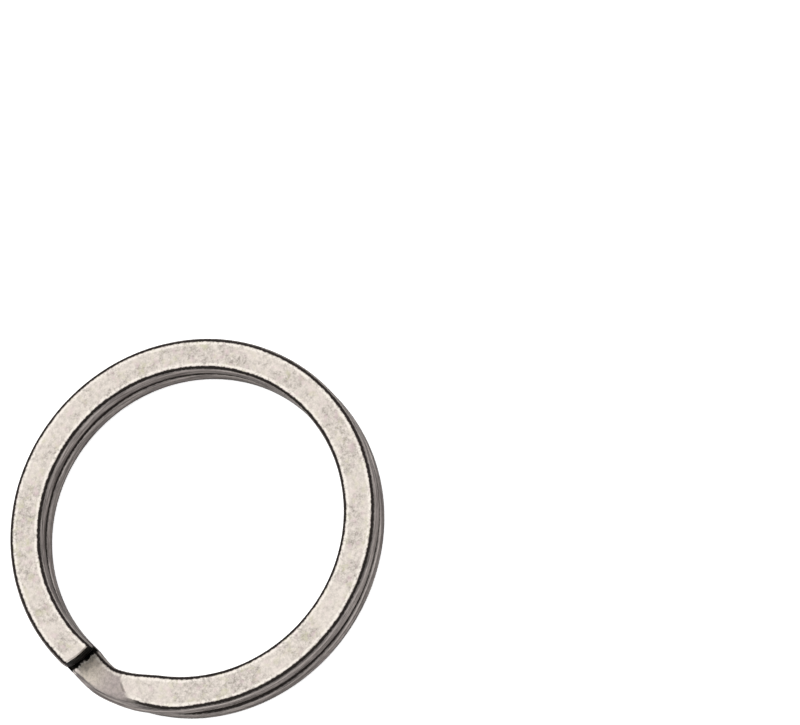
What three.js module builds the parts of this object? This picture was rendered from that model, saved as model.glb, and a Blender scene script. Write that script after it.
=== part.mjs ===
// Split key ring: one flat spring wire wound into two turns that lie on each other.
//
// The wire starts at the lower turn's free end, runs round once, climbs a short ramp (the
// crossover) and runs round once more on top, to the upper turn's free end. A key goes in
// where a free end is prised away from the turn beside it. The wire has no hinge: it bends
// and twists along its length. So each turn is divided into equal stretches, and every
// stretch is a solid of its own, joined to the next where the wire is taken to flex.
//
// Units are millimetres and degrees. The ring lies flat: +Z is the ring's axis, the origin
// is at the ring's centre on the face it rests on, and the crossover is on the -Y side.

import * as THREE from 'three';

// Driving dimensions.
const OUTER_DIAMETER = 32;
const WIRE_WIDTH = 2.8; // across the ring's face, from the inside edge to the outside edge
const WIRE_HEIGHT = 1.6; // of one turn, along the ring's axis
const EDGE_RADIUS = 0.3; // rounding along the wire's four edges
const TURN_GAP = 0.14; // free space between the closed turns
const CROSSOVER_SPAN = 22; // arc that the ramp between the two levels takes
const CROSSOVER_DIRECTION = -90; // where the middle of the ramp stands
const STRETCHES_PER_TURN = 10;
const FLEX_GAP = 0.06; // between the end faces of neighbouring stretches

// How finely the curved faces are divided.
const FLATS_PER_EDGE = 2; // round each rounded edge
const DEGREES_PER_STEP = 4.5; // along a turn
const CROSSOVER_STEPS = 18;

// Sizes that follow from them.
const MIDDLE_RADIUS = (OUTER_DIAMETER - WIRE_WIDTH) / 2;
const TOTAL_HEIGHT = 2 * WIRE_HEIGHT + TURN_GAP;
const RAMP_RISE = WIRE_HEIGHT + TURN_GAP;
const TURN_SPAN = 360 - CROSSOVER_SPAN;
const STRETCH_PITCH = TURN_SPAN / STRETCHES_PER_TURN;
const GAP_ANGLE = THREE.MathUtils.radToDeg(FLEX_GAP / MIDDLE_RADIUS);
const STRETCH_STEPS = Math.round(STRETCH_PITCH / DEGREES_PER_STEP);

const wireMetal = new THREE.MeshStandardMaterial({
  name: 'tumbled_titanium',
  color: 0xcfc4b9,
  roughness: 0.45,
  metalness: 0.9,
});

// The middle line of a piece of wire: an arc about +Z, centred on +X, that climbs by `rise`
// from level to level, easing in and out so that both of its ends run level.
class WireLine extends THREE.Curve {
  constructor(spanDegrees, rise) {
    super();
    this.span = THREE.MathUtils.degToRad(spanDegrees);
    this.rise = rise;
  }

  angleAt(t) {
    return this.span * (t - 0.5);
  }

  getPoint(t, target = new THREE.Vector3()) {
    const angle = this.angleAt(t);
    const height = this.rise * THREE.MathUtils.smoothstep(t, 0, 1);
    return target.set(MIDDLE_RADIUS * Math.cos(angle), MIDDLE_RADIUS * Math.sin(angle), height);
  }

  // The section never rolls: its width always points straight away from the ring's axis.
  computeFrenetFrames(steps) {
    const tangents = [];
    const normals = [];
    const binormals = [];
    for (let step = 0; step <= steps; step += 1) {
      const t = this.getUtoTmapping(step / steps);
      const angle = this.angleAt(t);
      const slope = this.rise * 6 * t * (1 - t);
      const tangent = new THREE.Vector3(
        -MIDDLE_RADIUS * this.span * Math.sin(angle),
        MIDDLE_RADIUS * this.span * Math.cos(angle),
        slope,
      ).normalize();
      const outward = new THREE.Vector3(Math.cos(angle), Math.sin(angle), 0);
      tangents.push(tangent);
      normals.push(outward);
      binormals.push(new THREE.Vector3().crossVectors(tangent, outward));
    }
    return { tangents, normals, binormals };
  }
}

// The wire's section: a rectangle with its four edges rounded.
function wireSection() {
  const acrossToCorner = WIRE_WIDTH / 2 - EDGE_RADIUS;
  const upToCorner = WIRE_HEIGHT / 2 - EDGE_RADIUS;
  const quarter = Math.PI / 2;
  const section = new THREE.Shape();
  section.absarc(acrossToCorner, upToCorner, EDGE_RADIUS, 0, quarter);
  section.absarc(-acrossToCorner, upToCorner, EDGE_RADIUS, quarter, 2 * quarter);
  section.absarc(-acrossToCorner, -upToCorner, EDGE_RADIUS, 2 * quarter, 3 * quarter);
  section.absarc(acrossToCorner, -upToCorner, EDGE_RADIUS, 3 * quarter, 4 * quarter);
  return section;
}

// ExtrudeGeometry gives every arc in a section two flats for each one of curveSegments.
function wireSolid(spanDegrees, rise, steps) {
  return new THREE.ExtrudeGeometry(wireSection(), {
    steps,
    curveSegments: FLATS_PER_EDGE / 2,
    extrudePath: new WireLine(spanDegrees, rise),
  });
}

// One turn, as it lies on the upper level: its stretches are numbered away from the
// crossover, and the last one is the free end that a fingernail or a key prises up.
function makeTurn(name, stretchSolid) {
  const turn = new THREE.Group();
  const firstMiddle = CROSSOVER_DIRECTION + CROSSOVER_SPAN / 2 + STRETCH_PITCH / 2;
  for (let number = 1; number <= STRETCHES_PER_TURN; number += 1) {
    const stretch = new THREE.Mesh(stretchSolid, wireMetal);
    const isFreeEnd = number === STRETCHES_PER_TURN;
    const padded = String(number).padStart(2, '0');
    stretch.name = isFreeEnd ? `${name}_pry_end` : `${name}_turn_${padded}`;
    stretch.rotation.z = THREE.MathUtils.degToRad(firstMiddle + (number - 1) * STRETCH_PITCH);
    turn.add(stretch);
  }
  return turn;
}

function makeCrossover() {
  const solid = wireSolid(CROSSOVER_SPAN - GAP_ANGLE, RAMP_RISE, CROSSOVER_STEPS);
  const crossover = new THREE.Mesh(solid, wireMetal);
  crossover.name = 'crossover';
  crossover.rotation.z = THREE.MathUtils.degToRad(CROSSOVER_DIRECTION);
  crossover.position.z = WIRE_HEIGHT / 2;
  return crossover;
}

const stretchSolid = wireSolid(STRETCH_PITCH - GAP_ANGLE, 0, STRETCH_STEPS);

const upperTurn = makeTurn('upper', stretchSolid);
upperTurn.position.z = TOTAL_HEIGHT - WIRE_HEIGHT / 2;

// The ring looks the same turned over about the line from its centre through the crossover,
// so the lower turn is the upper turn, turned over.
const lowerTurn = makeTurn('lower', stretchSolid);
lowerTurn.rotation.y = Math.PI;
lowerTurn.position.z = WIRE_HEIGHT / 2;

const keyRing = new THREE.Group();
keyRing.name = 'split_key_ring';
keyRing.add(lowerTurn, makeCrossover(), upperTurn);

export default keyRing;
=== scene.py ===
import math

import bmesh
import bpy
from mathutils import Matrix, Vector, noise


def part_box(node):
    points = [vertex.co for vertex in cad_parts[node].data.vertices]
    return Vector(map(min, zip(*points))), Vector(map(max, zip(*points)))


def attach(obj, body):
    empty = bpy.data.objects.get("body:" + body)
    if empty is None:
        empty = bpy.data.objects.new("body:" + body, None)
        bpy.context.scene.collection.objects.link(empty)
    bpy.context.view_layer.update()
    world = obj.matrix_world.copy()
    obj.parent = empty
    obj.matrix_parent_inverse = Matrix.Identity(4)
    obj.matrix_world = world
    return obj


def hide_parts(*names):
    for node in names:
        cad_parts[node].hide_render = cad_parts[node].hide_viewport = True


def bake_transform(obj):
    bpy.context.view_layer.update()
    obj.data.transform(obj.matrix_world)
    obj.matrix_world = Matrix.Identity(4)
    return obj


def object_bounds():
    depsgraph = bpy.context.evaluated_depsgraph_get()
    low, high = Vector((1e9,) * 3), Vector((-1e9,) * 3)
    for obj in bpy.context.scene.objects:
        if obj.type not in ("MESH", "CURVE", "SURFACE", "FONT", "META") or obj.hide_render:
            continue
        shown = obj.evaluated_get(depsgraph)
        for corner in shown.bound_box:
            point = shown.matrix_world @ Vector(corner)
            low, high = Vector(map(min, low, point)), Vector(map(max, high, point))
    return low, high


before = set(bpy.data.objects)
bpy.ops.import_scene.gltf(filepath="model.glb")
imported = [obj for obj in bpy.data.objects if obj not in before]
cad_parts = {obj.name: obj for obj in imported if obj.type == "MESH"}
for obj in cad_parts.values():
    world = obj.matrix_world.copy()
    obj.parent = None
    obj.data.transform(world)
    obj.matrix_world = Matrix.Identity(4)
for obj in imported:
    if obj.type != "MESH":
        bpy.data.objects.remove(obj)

# A split key ring: one flat spring wire wound into two turns, drawn as nine fine pieces
# of the same wire. Places along the wire are station angles in degrees, measured round
# the ring from the middle of the crossover: positive on the upper turn, negative on the
# lower turn. A section point is (x, y) in millimetres, x outwards and y up.

MM = 0.001

# The ring's sizes in millimetres, from the frame
CAD_LOW, CAD_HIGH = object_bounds()
OUTER_RADIUS = CAD_HIGH.x / MM
TOTAL_HEIGHT = CAD_HIGH.z / MM
WIRE_HEIGHT = (CAD_HIGH.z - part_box("upper_turn_05")[0].z) / MM
TURN_OFFSET = (TOTAL_HEIGHT - WIRE_HEIGHT) / 2

# The wire's width in millimetres and the crossover's angles in degrees, the same as the CAD model's
WIRE_WIDTH = 2.8
MIDDLE_RADIUS = OUTER_RADIUS - WIRE_WIDTH / 2
CROSSOVER_AZIMUTH = -90
CROSSOVER_SPAN = 22
STRETCHES_PER_TURN = 10
STRETCH_PITCH = (360 - CROSSOVER_SPAN) / STRETCHES_PER_TURN
WIRE_END = 360 - CROSSOVER_SPAN / 2

# The wire's rounded corners in millimetres, larger on the crossover's outer side, and the station
# angles over which that extra rounding fades on the side that shows and on the covered side
OUTER_EDGE_RADIUS = 0.4
INNER_EDGE_RADIUS = 0.35
EDGE_RADIUS_CHANGE = 0.02
EDGE_CHANGE_PER_DEGREE = 0.11
EDGE_CHANGE_PER_CORNER = 3.7
EDGE_CHANGE_OFFSET = 1.3
CROSSOVER_EDGE_RADIUS = 0.72
SHOWN_EDGE_FADES = (12, 30)
COVERED_EDGE_FADES = (5, 15)
SMALLEST_RADIUS = 0.08

# How the wire departs from a true circle: bowed outwards at the crossover, lower turn sprung out.
# Depths are in millimetres, and the pairs are the station angles over which each one changes.
NECK_DEPTH = 0.5
NECK_GROWS = (-12, 4)
NECK_FADES = (4, 22)
BOW_DEPTH = 0.36
BOW_GROWS = (-14, 2)
BOW_FADES = (12, 40)
LOWER_END_FLARE = 0.2
FLARE_GROWS = (250, 325)
FLARE_LOSS_AT_END = 0.6

# The ramp's stations. Its upper bend is curved, and lies furthest round on the wire's outer side.
RAMP_START = -9.8
RAMP_END = 8.2
RAMP_END_SWEEP = 3.6
RAMP_END_SIDE = -0.5
RAMP_EASE = 0.1

# Stations where the crossover's outer edges have no crisp line
SOFT_EDGE_BEGINS = (-20, -17)
SOFT_EDGE_ENDS = (9, 17)

# The two free ends, cut a little askew: degrees along the wire, then millimetres
UPPER_CUT_OFFSET = 0.6
LOWER_CUT_OFFSET = -2.6
CUT_SKEW = 1.2
CUT_BULGE = 0.6
CUT_ZONE = 9
CUT_EDGE_RADIUS = 0.16
CUT_ROUGHNESS = 0.035
CUT_GRAIN_ACROSS = 3.1
CUT_GRAIN_UP = 4.3

# How fine the mesh is
CORNER_STEPS = 7
FACE_STEPS = 14
WALL_STEPS = 7
DEGREES_PER_STATION = 0.6
CROSSOVER_DEGREES_PER_STATION = 0.3
SHORTEST_STEP = 0.1
CUT_RINGS = 6
CUT_EDGE_STEPS = 5


def smooth_step(low, high, value):
    """0 below low, 1 above high and a soft change between them."""
    t = min(max((value - low) / (high - low), 0), 1)
    return t * t * (3 - 2 * t)


def side_of(x):
    """-1 on the wire's inner side and 1 on its outer side."""
    return x / (WIRE_WIDTH / 2)


def ramp_end(x):
    """Station where the ramp reaches the upper turn's level, at one place across the wire."""
    return RAMP_END + RAMP_END_SWEEP * (side_of(x) - RAMP_END_SIDE) ** 2


def rise(station, x):
    """Height of the wire's middle line and its slope, at one place across the wire."""
    span = ramp_end(x) - RAMP_START
    t = min(max((station - RAMP_START) / span, 0), 1)
    from_end = min(t, 1 - t)
    steepness = 1 / (1 - RAMP_EASE)
    if from_end > RAMP_EASE:
        share = steepness * (from_end - RAMP_EASE / 2)
        slope = steepness
    else:
        share = steepness * from_end ** 2 / (2 * RAMP_EASE)
        slope = steepness * from_end / RAMP_EASE
    if t > 0.5:
        share = 1 - share
    height = WIRE_HEIGHT / 2 + 2 * TURN_OFFSET * share
    ramp_length = math.radians(span) * (MIDDLE_RADIUS + x)
    return height, 2 * TURN_OFFSET * slope / ramp_length


def flare(station):
    """How far the wire stands outside its circle towards the lower free end, in millimetres."""
    grown = smooth_step(*FLARE_GROWS, -station)
    lost = FLARE_LOSS_AT_END * smooth_step(FLARE_GROWS[1], WIRE_END, -station)
    return LOWER_END_FLARE * grown * (1 - lost)


def cut_shift(station, x):
    """Degrees by which the askew cut moves a point near a free end along the wire."""
    side = side_of(x)
    offset = UPPER_CUT_OFFSET if station > 0 else LOWER_CUT_OFFSET
    shift = offset - CUT_SKEW * side + CUT_BULGE * (1 - side ** 2)
    near_cut = smooth_step(WIRE_END - CUT_ZONE, WIRE_END, abs(station))
    return shift * near_cut * math.copysign(1, station)


def wire_point(station, x, y, push=0.0):
    """The point of section place (x, y) in the ring, in millimetres; push moves it along the wire."""
    azimuth = math.radians(CROSSOVER_AZIMUTH + station + cut_shift(station, x))
    radius = MIDDLE_RADIUS + x + flare(station)
    height = rise(station, x)[0] + y
    outwards = Vector((math.cos(azimuth), math.sin(azimuth), 0))
    along = Vector((-math.sin(azimuth), math.cos(azimuth), 0))
    return outwards * radius + Vector((0, 0, height)) + along * push


def corner_radii(station):
    """Radii of the outer bottom, outer top, inner top and inner bottom corners at a station."""
    distance = abs(station)
    extra = CROSSOVER_EDGE_RADIUS - OUTER_EDGE_RADIUS
    shown = OUTER_EDGE_RADIUS + extra * (1 - smooth_step(*SHOWN_EDGE_FADES, distance))
    covered = OUTER_EDGE_RADIUS + extra * (1 - smooth_step(*COVERED_EDGE_FADES, distance))
    top, bottom = (shown, covered) if station >= 0 else (covered, shown)
    radii = [bottom, top, INNER_EDGE_RADIUS, INNER_EDGE_RADIUS]
    for corner in range(len(radii)):
        place = (station * EDGE_CHANGE_PER_DEGREE, corner * EDGE_CHANGE_PER_CORNER, EDGE_CHANGE_OFFSET)
        radii[corner] += EDGE_RADIUS_CHANGE * noise.noise(Vector(place))
    return radii


def section(station, inset=0.0):
    """The wire's outline at a station: (x, y, distance past the nearest flat face's edge) per point."""
    neck = NECK_DEPTH * smooth_step(*NECK_GROWS, station) * (1 - smooth_step(*NECK_FADES, station))
    bow = BOW_DEPTH * smooth_step(*BOW_GROWS, station) * (1 - smooth_step(*BOW_FADES, station))
    right = WIRE_WIDTH / 2 + bow - inset
    left = -WIRE_WIDTH / 2 + neck + inset
    top = WIRE_HEIGHT / 2 - inset
    corners = [(right, -top, 1, -1), (right, top, 1, 1), (left, top, -1, 1), (left, -top, -1, -1)]
    radii = [max(radius - inset, SMALLEST_RADIUS) for radius in corner_radii(station)]
    points = []
    for number, (corner_x, corner_y, x_sign, y_sign) in enumerate(corners):
        radius = radii[number]
        starts_on_face = number in (0, 2)
        for step in range(CORNER_STEPS + 1):
            share = step / CORNER_STEPS
            from_face = share if starts_on_face else 1 - share
            angle = math.pi / 2 * from_face
            x = corner_x - x_sign * radius * (1 - math.sin(angle))
            y = corner_y - y_sign * radius * (1 - math.cos(angle))
            points.append((x, y, radius * angle))
        next_radius = radii[(number + 1) % len(radii)]
        if starts_on_face:
            length = 2 * top - radius - next_radius
            for step in range(1, WALL_STEPS):
                share = step / WALL_STEPS
                y = corner_y - y_sign * (radius + length * share)
                from_corner = min(
                    radius * math.pi / 2 + length * share,
                    next_radius * math.pi / 2 + length * (1 - share),
                )
                points.append((corner_x, y, from_corner))
        else:
            length = right - left - radius - next_radius
            for step in range(1, FACE_STEPS):
                share = (1 - math.cos(math.pi * step / FACE_STEPS)) / 2
                x = corner_x - x_sign * (radius + length * share)
                points.append((x, corner_y, -length * min(share, 1 - share)))
    return points


def stations_between(first, last):
    """Stations from first to last, closer together on the crossover."""
    stations = [first]
    while stations[-1] < last:
        on_crossover = abs(stations[-1]) < CROSSOVER_SPAN
        step = CROSSOVER_DEGREES_PER_STATION if on_crossover else DEGREES_PER_STATION
        stations.append(min(stations[-1] + step, last))
    if len(stations) > 2 and stations[-1] - stations[-2] < SHORTEST_STEP:
        del stations[-2]
    return stations


def edge_softness(station, x, y):
    """1 where the crossover's outer edges blend into the wall with no crisp line, 0 elsewhere."""
    towards_face = station if y > 0 else -station
    if x < 0:
        return 0.0
    return smooth_step(*SOFT_EDGE_BEGINS, towards_face) * (1 - smooth_step(*SOFT_EDGE_ENDS, towards_face))


def cut_rounding():
    """(degrees from the cut, millimetres inwards) of each loop that rounds a free end's rim."""
    rounding = []
    for step in range(CUT_EDGE_STEPS + 1):
        angle = math.pi / 2 * step / CUT_EDGE_STEPS
        depth = math.degrees(CUT_EDGE_RADIUS * (1 - math.sin(angle)) / MIDDLE_RADIUS)
        rounding.append((depth, CUT_EDGE_RADIUS * (1 - math.cos(angle))))
    return rounding


class WireMesh:
    """Mesh of one piece of the wire. Each vertex carries its place on the wire, for the material."""

    def __init__(self):
        self.mesh = bmesh.new()
        layers = self.mesh.verts.layers
        self.line = layers.float_vector.new("wire_line")
        self.past_edge = layers.float.new("past_edge")
        self.slope = layers.float.new("ramp_slope")
        self.soft_edge = layers.float.new("soft_edge")

    def add_point(self, station, x, y, past_edge, push=0.0):
        vertex = self.mesh.verts.new(wire_point(station, x, y, push) * MM)
        along = math.radians(station) * MIDDLE_RADIUS
        vertex[self.line] = (along + push, x, y)
        vertex[self.past_edge] = past_edge
        vertex[self.slope] = rise(station, x)[1]
        vertex[self.soft_edge] = edge_softness(station, x, y)
        return vertex

    def add_loop(self, station, inset=0.0):
        return [self.add_point(station, x, y, past) for x, y, past in section(station, inset)]

    def join(self, loop, following):
        """A band of faces between two loops."""
        faces = []
        for index in range(len(loop)):
            after = (index + 1) % len(loop)
            corners = (loop[index], loop[after], following[after], following[index])
            faces.append(self.mesh.faces.new(corners))
        return faces

    def add_plain_end(self, loop):
        """A flat face, where the wire goes on in the next piece."""
        face = self.mesh.faces.new(loop)
        for rim in face.edges:
            rim.smooth = False

    def add_cut_end(self, station, loop, direction):
        """Rough sheared face over a free end's last loop."""
        outline = section(station, CUT_EDGE_RADIUS)
        middle_x = sum(x for x, _, _ in outline) / len(outline)
        previous = loop
        faces = []
        for ring in range(1, CUT_RINGS):
            scale = 1 - ring / CUT_RINGS
            inner = []
            for x, y, _ in outline:
                place_x = middle_x + (x - middle_x) * scale
                place_y = y * scale
                grain = noise.noise(Vector((place_x * CUT_GRAIN_ACROSS, place_y * CUT_GRAIN_UP, station)))
                push = direction * CUT_ROUGHNESS * grain
                inner.append(self.add_point(station, place_x, place_y, 0, push))
            faces += self.join(previous, inner) if direction > 0 else self.join(inner, previous)
            previous = inner
        centre = self.add_point(station, middle_x, 0, 0)
        for index in range(len(previous)):
            pair = [previous[index], previous[(index + 1) % len(previous)]]
            corners = pair if direction > 0 else reversed(pair)
            faces.append(self.mesh.faces.new((*corners, centre)))
        for face in faces:
            face.smooth = True
            face.material_index = 1

    def make_object(self, name):
        data = bpy.data.meshes.new(name)
        self.mesh.normal_update()
        self.mesh.to_mesh(data)
        self.mesh.free()
        piece = bpy.data.objects.new(name, data)
        bpy.context.scene.collection.objects.link(piece)
        return piece


def wire_piece(name, first, last):
    """One closed piece of the wire between two stations, with any free end cut and rounded."""
    wire = WireMesh()
    free_start = first <= -WIRE_END
    free_end = last >= WIRE_END
    rounded = math.degrees(CUT_EDGE_RADIUS / MIDDLE_RADIUS)
    plain_first = first + rounded if free_start else first
    plain_last = last - rounded if free_end else last
    stations = stations_between(first, last)
    loops = [wire.add_loop(station) for station in stations if plain_first <= station <= plain_last]
    if free_end:
        loops += [wire.add_loop(last - depth, inset) for depth, inset in cut_rounding()]
    if free_start:
        loops = [wire.add_loop(first + depth, inset) for depth, inset in reversed(cut_rounding())] + loops
    for loop, following in zip(loops, loops[1:]):
        for face in wire.join(loop, following):
            face.smooth = True
    if free_end:
        wire.add_cut_end(last, loops[-1], 1)
    else:
        wire.add_plain_end(loops[-1])
    if free_start:
        wire.add_cut_end(first, loops[0], -1)
    else:
        wire.add_plain_end(list(reversed(loops[0])))
    return wire.make_object(name)


# ---- Material -----------------------------------------------------------------------


class Nodes:
    """Short calls that add shader nodes and link them."""

    def __init__(self, tree):
        self.tree = tree
        tree.nodes.clear()

    def add(self, kind, links=None, **settings):
        node = self.tree.nodes.new(kind)
        for key, value in settings.items():
            setattr(node, key, value)
        for socket, value in (links or {}).items():
            if isinstance(value, bpy.types.NodeSocket):
                self.tree.links.new(value, node.inputs[socket])
            else:
                node.inputs[socket].default_value = value
        return node

    def attribute(self, name):
        return self.add("ShaderNodeAttribute", attribute_name=name)

    def stretch(self, vector, scale):
        return self.add("ShaderNodeVectorMath", {0: vector, 1: scale}, operation="MULTIPLY").outputs[0]

    def shift(self, vector, offset):
        return self.add("ShaderNodeVectorMath", {0: vector, 1: offset}, operation="ADD").outputs[0]

    def noise(self, vector, scale, detail=2.0, roughness=0.5):
        links = {"Vector": vector, "Scale": scale, "Detail": detail, "Roughness": roughness}
        return self.add("ShaderNodeTexNoise", links).outputs["Fac"]

    def spread(self, value, low, high, new_low=0.0, new_high=1.0):
        """A soft change from new_low to new_high while value goes from low to high."""
        links = {"Value": value, "From Min": low, "From Max": high, "To Min": new_low, "To Max": new_high}
        node = self.add("ShaderNodeMapRange", links, interpolation_type="SMOOTHSTEP")
        return node.outputs["Result"]

    def math(self, operation, first, second):
        return self.add("ShaderNodeMath", {0: first, 1: second}, operation=operation).outputs[0]

    def product(self, first, *others):
        for other in others:
            first = self.math("MULTIPLY", first, other)
        return first

    def mix(self, factor, first, second):
        """Colour first where factor is 0, and colour second where it is 1."""
        links = {0: factor, 6: first, 7: second}
        return self.add("ShaderNodeMix", links, data_type="RGBA").outputs[2]

    def finish(self, **inputs):
        """Metal shader with the given inputs, on the material's output."""
        links = {name.replace("_", " "): value for name, value in inputs.items()}
        shader = self.add("ShaderNodeBsdfPrincipled", {"Metallic": 1.0, **links})
        self.add("ShaderNodeOutputMaterial", {"Surface": shader.outputs[0]})


FACE_LIGHT = (0.57, 0.52, 0.475, 1)
FACE_DARK = (0.19, 0.171, 0.152, 1)
FACE_PINK = (0.45, 0.355, 0.365, 1)
FACE_GREEN = (0.41, 0.395, 0.28, 1)
WALL_LIGHT = (0.40, 0.36, 0.34, 1)
WALL_DARK = (0.08, 0.071, 0.069, 1)
RAMP_BEIGE = (0.60, 0.54, 0.465, 1)
RAMP_MAUVE = (0.38, 0.33, 0.315, 1)
# Pale colour for the painted highlight just inside the flat faces' edges, and for the bright specks at the
# ramp's foot
HIGHLIGHT_AND_SPECK_PALE = (0.63, 0.59, 0.54, 1)
EDGE_SHADE = (0.018, 0.015, 0.014, 1)
# Near-black colours of the sheared ends, partly their own tone and partly painted shade; the darker one
# also paints the shadow under the upper end's cut
CUT_STREAK_IN_SHADE = (0.06, 0.052, 0.048, 1)
CUT_SHADOW_BLACK = (0.004, 0.0035, 0.003, 1)

# Zones round the section, in millimetres past the flat face's edge: where each has no effect, then
# where it has all of it
RIM_HIGHLIGHT_BEGINS = (-0.3, -0.1)
RIM_HIGHLIGHT_ENDS = (0.02, -0.04)
SHADE_BEGINS = (0.0, 0.08)
SHADE_ENDS = (0.4, 0.24)
WALL_BEGINS = (0.2, 0.4)
GLANCE_BEGINS = (0.0, 0.3)
UNDERSIDE_SHADE_BEGINS = (0.8, 0.5)
EDGE_WANDER = 0.03

# Zones up the section, in millimetres from its middle
LOWER_SIDE = (-0.2, -0.3)
UPPER_FACE = (0.3, 0.5)

# Zones on the ramp, by its slope, and in millimetres across the wire and from the crossover's middle
RAMP_BY_SLOPE = (0.05, 0.3)
RAMP_TINT_CHANGES = (-1.6, 1.6)
CREASE_BY_SLOPE = (0.03, 0.1)
CREASE_ENDS_BY_SLOPE = (0.3, 0.2)
CREASE_BEGINS_ACROSS = (-0.1, 0.2)
CREASE_ENDS_ACROSS = (0.9, 0.6)
CREASE_BEGINS_ALONG = (0.5, 1.0)

# The painted shadow in the corner under the upper end's cut, in millimetres from the crossover's middle at
# mid width
CUT_SLANT = 0.23
CUT_WANDER = 0.15
FOOT_SHADOW_BEGINS = (-5.5, -2.5)
FOOT_SHADOW_ENDS = (-2.2, -2.34)
SPECKS_BEGIN = (-2.4, -2.2)
SPECKS_END = (-1.9, -2.1)

# How strongly some effects show
RAMP_STRENGTH = 0.85
RAMP_ROUGHER_BY = 0.2
CREASE_STRENGTH = 0.5
UNDERSIDE_SHADE_STRENGTH = 0.7
GLANCE_LEFT = 0.3


def new_material(name):
    material = bpy.data.materials.new(name)
    material.use_nodes = True
    return material, Nodes(material.node_tree)


def face_colour(nodes, line, grain):
    """Pale metal with fine mottling and faint pink, green and light patches."""
    patches = nodes.noise(line, scale=0.55)
    pink = nodes.noise(line, scale=1.3, detail=3, roughness=0.6)
    green = nodes.noise(nodes.shift(line, (40, 7, 3)), scale=1.1, detail=3, roughness=0.6)
    colour = nodes.mix(nodes.spread(grain, low=0.26, high=0.7), FACE_DARK, FACE_LIGHT)
    for spots, tint in ((pink, FACE_PINK), (green, FACE_GREEN)):
        colour = nodes.mix(nodes.spread(spots, low=0.52, high=0.7, new_high=0.6), colour, tint)
    return nodes.mix(nodes.spread(patches, low=0.4, high=0.62, new_high=0.4), colour, FACE_LIGHT)


def wall_colour(nodes, streaks, grain):
    """Darker metal with the drawing die's lengthwise streaks."""
    colour = nodes.mix(nodes.spread(streaks, low=0.32, high=0.68), WALL_DARK, WALL_LIGHT)
    return nodes.mix(nodes.spread(grain, low=0.35, high=0.6, new_low=0.3, new_high=0), colour, WALL_DARK)


def ramp_colour(nodes, along, grain):
    """Beige at the foot of the ramp and mauve at its top, with some grain."""
    colour = nodes.mix(nodes.spread(along, *RAMP_TINT_CHANGES), RAMP_BEIGE, RAMP_MAUVE)
    return nodes.mix(nodes.spread(grain, low=0.35, high=0.65, new_low=0.45, new_high=0), colour, WALL_DARK)


def crease_shade(nodes, slope, across, along):
    """A short dark line in the outer half of the ramp's upper bend."""
    return nodes.product(
        nodes.spread(slope, *CREASE_BY_SLOPE),
        nodes.spread(slope, *CREASE_ENDS_BY_SLOPE),
        nodes.spread(across, *CREASE_BEGINS_ACROSS, new_high=CREASE_STRENGTH),
        nodes.spread(across, *CREASE_ENDS_ACROSS),
        nodes.spread(along, *CREASE_BEGINS_ALONG),
    )


def shadowed_foot(nodes, colour, line, grain):
    """Paints shadow darkening the ramp's foot under the upper end's cut, with a few bright specks beyond
    it.
    """
    along, across, up = nodes.add("ShaderNodeSeparateXYZ", {0: line}).outputs
    from_cut = nodes.math("ADD", along, nodes.math("MULTIPLY", across, CUT_SLANT))
    ragged = nodes.spread(grain, low=0.3, high=0.7, new_low=-CUT_WANDER, new_high=CUT_WANDER)
    from_cut = nodes.math("ADD", from_cut, ragged)
    foot = nodes.product(nodes.spread(from_cut, *FOOT_SHADOW_BEGINS), nodes.spread(up, *UPPER_FACE))
    dots = nodes.spread(nodes.noise(line, scale=4.5), low=0.5, high=0.6)
    specks = nodes.product(nodes.spread(from_cut, *SPECKS_BEGIN), nodes.spread(from_cut, *SPECKS_END), dots)
    # Painted shadow at the ramp's foot under the cut
    colour = nodes.mix(nodes.product(nodes.spread(from_cut, *FOOT_SHADOW_ENDS), foot), colour, CUT_SHADOW_BLACK)
    return nodes.mix(nodes.product(specks, foot), colour, HIGHLIGHT_AND_SPECK_PALE)


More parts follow.
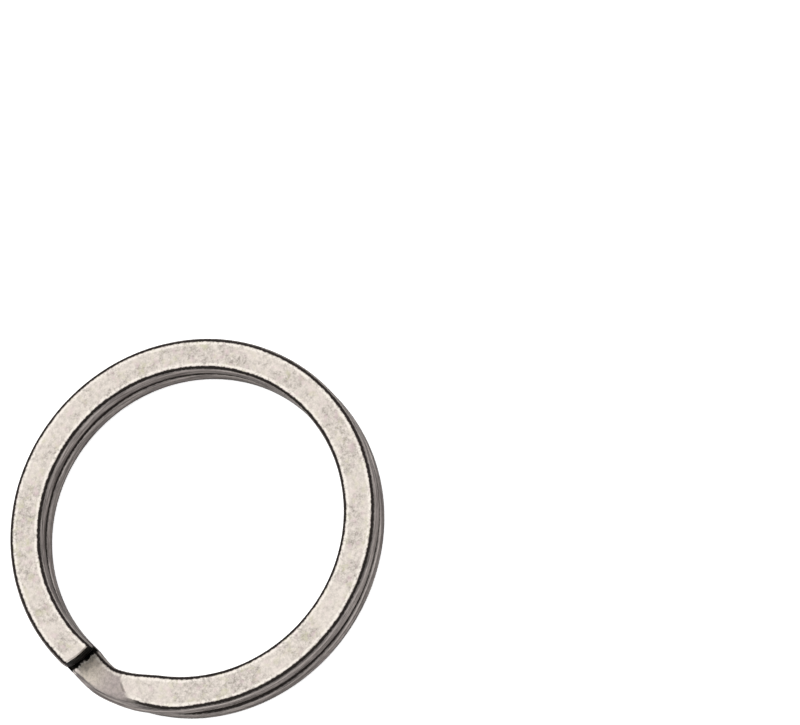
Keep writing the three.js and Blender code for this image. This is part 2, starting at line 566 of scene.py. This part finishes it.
def wire_material():
    """Tumbled titanium: pale mottled flat faces and streaked drawn side walls, with a painted highlight
    just inside the faces' edges and painted shade along the corners, on the underside and at the ramp's
    foot.
    """
    material, nodes = new_material("wire_metal")
    line = nodes.attribute("wire_line").outputs["Vector"]
    past_edge = nodes.attribute("past_edge").outputs["Fac"]
    slope = nodes.attribute("ramp_slope").outputs["Fac"]
    crisp = nodes.math("SUBTRACT", 1.0, nodes.attribute("soft_edge").outputs["Fac"])
    along, across, up = nodes.add("ShaderNodeSeparateXYZ", {0: line}).outputs

    grain = nodes.noise(line, scale=3.0, detail=5, roughness=0.78)
    streaks = nodes.noise(nodes.stretch(line, (0.04, 1, 1)), scale=7.0, detail=5, roughness=0.7)
    wander = nodes.noise(line, scale=4.0, detail=3)
    wander = nodes.spread(wander, low=0.3, high=0.7, new_low=-EDGE_WANDER, new_high=EDGE_WANDER)
    distance = nodes.math("ADD", past_edge, wander)

    ramp = nodes.spread(slope, *RAMP_BY_SLOPE, new_high=RAMP_STRENGTH)
    colour = nodes.mix(ramp, face_colour(nodes, line, grain), ramp_colour(nodes, along, grain))
    # Painted highlight: a pale band just inside each flat face's edge, broken up by grain
    rim = nodes.product(
        nodes.spread(distance, *RIM_HIGHLIGHT_BEGINS),
        nodes.spread(distance, *RIM_HIGHLIGHT_ENDS),
        nodes.spread(grain, low=0.4, high=0.55, new_low=0.2, new_high=0.9),
        crisp,
    )
    colour = nodes.mix(rim, colour, HIGHLIGHT_AND_SPECK_PALE)
    colour = nodes.mix(nodes.spread(distance, *WALL_BEGINS), colour, wall_colour(nodes, streaks, grain))
    shade = nodes.product(nodes.spread(distance, *SHADE_BEGINS), nodes.spread(distance, *SHADE_ENDS), crisp)
    shade = nodes.math("MAXIMUM", shade, crease_shade(nodes, slope, across, along))
    colour = nodes.mix(shade, colour, EDGE_SHADE)
    # Painted shade on the wire's underside and lower corners, where it sits on the floor and faces the
    # other turn
    underside_shade = nodes.product(
        nodes.spread(distance, *UNDERSIDE_SHADE_BEGINS),
        nodes.spread(up, *LOWER_SIDE),
        UNDERSIDE_SHADE_STRENGTH,
    )
    colour = nodes.mix(underside_shade, colour, EDGE_SHADE)
    colour = shadowed_foot(nodes, colour, line, grain)

    rough = nodes.spread(grain, low=0.35, high=0.65, new_low=0.34, new_high=0.5)
    rough = nodes.math("ADD", rough, nodes.math("MULTIPLY", ramp, RAMP_ROUGHER_BY))
    pits = nodes.noise(line, scale=5.5, detail=4, roughness=0.65)
    relief = nodes.math("ADD", pits, nodes.math("MULTIPLY", streaks, 0.6))
    bump = nodes.add("ShaderNodeBump", {"Height": relief, "Strength": 0.35, "Distance": 0.03 * MM})
    glance = nodes.spread(distance, *GLANCE_BEGINS, new_low=1.0, new_high=GLANCE_LEFT)
    nodes.finish(Base_Color=colour, Roughness=rough, Normal=bump.outputs[0], Specular_Tint=glance)
    return material


def cut_material():
    """The sheared faces of the free ends: rough, with a few torn streaks, and nearly black, partly the
    sheared face's own dark tone and partly painted shade.
    """
    material, nodes = new_material("sheared_end")
    line = nodes.attribute("wire_line").outputs["Vector"]
    tears = nodes.noise(nodes.stretch(line, (1, 0.5, 2)), scale=3.0, detail=4, roughness=0.6)
    colour = nodes.mix(nodes.spread(tears, low=0.52, high=0.68), CUT_SHADOW_BLACK, CUT_STREAK_IN_SHADE)
    bump = nodes.add("ShaderNodeBump", {"Height": tears, "Strength": 0.6, "Distance": 0.05 * MM})
    nodes.finish(Base_Color=colour, Roughness=0.7, Normal=bump.outputs[0])
    return material


# ---- The ring -----------------------------------------------------------------------


def finish_piece(piece, materials, replaced):
    for material in materials:
        piece.data.materials.append(material)
    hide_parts(*replaced)


def make_ring():
    materials = [wire_material(), cut_material()]
    turns = {"upper": 1, "lower": -1}
    half = CROSSOVER_SPAN / 2

    closed_end = half + 2 * STRETCH_PITCH
    piece = wire_piece("crossover_wire", -closed_end, closed_end)
    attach(piece, "closed_turns")
    replaced = ["crossover"] + [f"{turn}_turn_{number:02d}" for turn in turns for number in (1, 2)]
    finish_piece(piece, materials, replaced)

    for turn, sign in turns.items():
        bodies = ["closed_turns"] + [f"{turn}_turn_{place}" for place in ("near", "middle", "end")]
        for bend, (body, next_body) in enumerate(zip(bodies, bodies[1:])):
            number = 2 * bend + 3
            first = half + (number - 1) * STRETCH_PITCH
            last = first + 2 * STRETCH_PITCH
            piece = wire_piece(f"{next_body}_wire", *sorted((sign * first, sign * last)))
            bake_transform(piece)
            finish_piece(piece, materials, [f"{turn}_turn_{number:02d}", f"{turn}_turn_{number + 1:02d}"])
        first = half + (STRETCHES_PER_TURN - 2) * STRETCH_PITCH
        piece = wire_piece(f"{turn}_turn_tip_wire", *sorted((sign * first, sign * WIRE_END)))
        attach(piece, f"{turn}_turn_end")
        finish_piece(piece, materials, [f"{turn}_turn_09", f"{turn}_pry_end"])


# ---- Studio -------------------------------------------------------------------------

# The camera's place and lens in millimetres, its angles in degrees
CAMERA_AIM = Vector((7.56, 20.56, 0))
CAMERA_AZIMUTH = -18.9
CAMERA_TILT = 22
CAMERA_TURN = 29.6
CAMERA_DISTANCE = 339
CAMERA_LENS = 181.1

# The sky's brightest direction, and its strength by the cosine of the angle from it
SKY_POLE = (-0.4, 0.14, 0.906)
SKY_BRIGHTENS = (0.1, 0.6)
SKY_DIM = 0.4
SKY_BRIGHT = 1.7

# The floor: its side in metres, and how far it lies under the ring in millimetres
FLOOR_SIZE = 6
FLOOR_DROP = 0.02
FLOOR_GLOW = 0.5
FLOOR_GREY = 0.93


def make_camera():
    """A long lens tilted away from straight down."""
    azimuth = math.radians(CAMERA_AZIMUTH)
    tilt = math.radians(CAMERA_TILT)
    towards = Vector((math.cos(azimuth), math.sin(azimuth), 0))
    tilt_axis = Vector((-towards.y, towards.x, 0))
    place = CAMERA_AIM + CAMERA_DISTANCE * (towards * math.sin(tilt) + Vector((0, 0, math.cos(tilt))))
    turn = Matrix.Rotation(math.radians(CAMERA_TURN), 3, "Z")
    camera = bpy.data.objects.new("camera", bpy.data.cameras.new("camera"))
    camera.data.lens = CAMERA_LENS
    camera.location = place * MM
    camera.rotation_euler = (Matrix.Rotation(tilt, 3, tilt_axis) @ turn).to_euler()
    bpy.context.scene.collection.objects.link(camera)
    bpy.context.scene.camera = camera


def make_floor():
    data = bpy.data.meshes.new("floor")
    mesh = bmesh.new()
    bmesh.ops.create_grid(mesh, x_segments=1, y_segments=1, size=FLOOR_SIZE / 2)
    mesh.to_mesh(data)
    mesh.free()
    floor = bpy.data.objects.new("floor", data)
    floor.location.z = -FLOOR_DROP * MM
    material = bpy.data.materials.new("pale_floor")
    material.use_nodes = True
    shader = material.node_tree.nodes["Principled BSDF"]
    shader.inputs["Base Color"].default_value = (FLOOR_GREY, FLOOR_GREY, FLOOR_GREY, 1)
    shader.inputs["Roughness"].default_value = 0.9
    shader.inputs["Emission Color"].default_value = (1, 1, 1, 1)
    shader.inputs["Emission Strength"].default_value = FLOOR_GLOW
    data.materials.append(material)
    bpy.context.scene.collection.objects.link(floor)


def make_light():
    """A wide soft sky, bright overhead and dim near the horizon."""
    world = bpy.data.worlds.new("studio")
    world.use_nodes = True
    nodes = Nodes(world.node_tree)
    direction = nodes.add("ShaderNodeTexCoord").outputs["Generated"]
    pole = nodes.add("ShaderNodeVectorMath", {0: direction, 1: SKY_POLE}, operation="DOT_PRODUCT")
    glow = nodes.spread(pole.outputs["Value"], *SKY_BRIGHTENS, new_low=SKY_DIM, new_high=SKY_BRIGHT)
    sky = nodes.add("ShaderNodeBackground", {"Color": (1, 1, 1, 1), "Strength": glow})
    nodes.add("ShaderNodeOutputWorld", {"Surface": sky.outputs[0]})
    bpy.context.scene.world = world
    bpy.context.scene.view_settings.view_transform = "Standard"


make_camera()
make_floor()
make_light()
make_ring()
